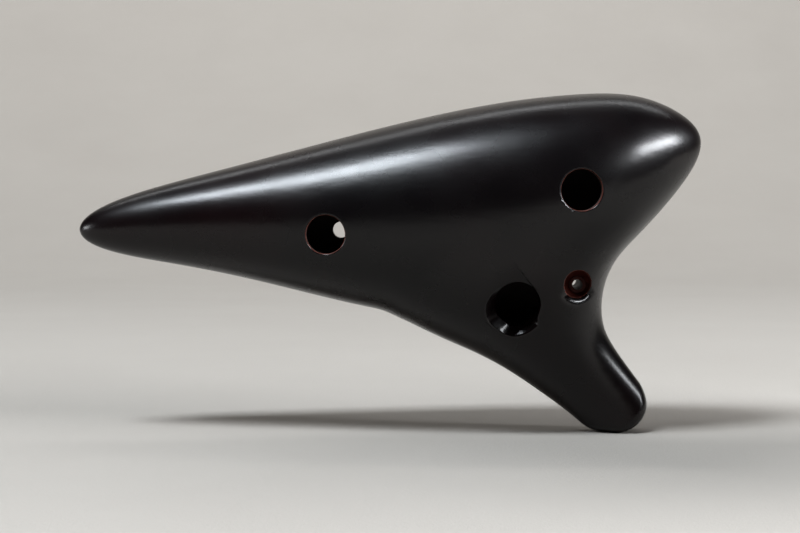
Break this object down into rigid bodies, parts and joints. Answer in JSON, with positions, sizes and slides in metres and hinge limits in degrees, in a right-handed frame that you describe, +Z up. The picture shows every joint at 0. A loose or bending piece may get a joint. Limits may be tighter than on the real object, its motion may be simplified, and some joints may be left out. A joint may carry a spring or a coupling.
{
  "type": "ocarina",
  "caption": "Transverse alto ocarina: an egg-shaped hollow body tapering to a tail, a mouthpiece with a windway, finger, thumb, sound and strap holes.",
  "frame": {"origin": "centre of the footprint, at the lowest point of the mouthpiece tip, with the instrument upright as displayed", "axes": "+X from the tail to the head, along the body; +Z up; -Y towards the thumb side with the sound hole, +Y towards the finger side; the seam of the two shells is the XZ plane"},
  "size_m": [0.17, 0.048, 0.0927],
  "materials": {
    "lacquer": "dark maroon-black satin-gloss lacquer",
    "bare_resin": "bare red-brown"
  },
  "bodies": {
    "root": {"rear_shell": "lacquer", "front_shell": "lacquer", "mouthpiece": "lacquer", "windway_block": "bare_resin", "strap_sleeve": "bare_resin"}
  },
  "joints": []
}
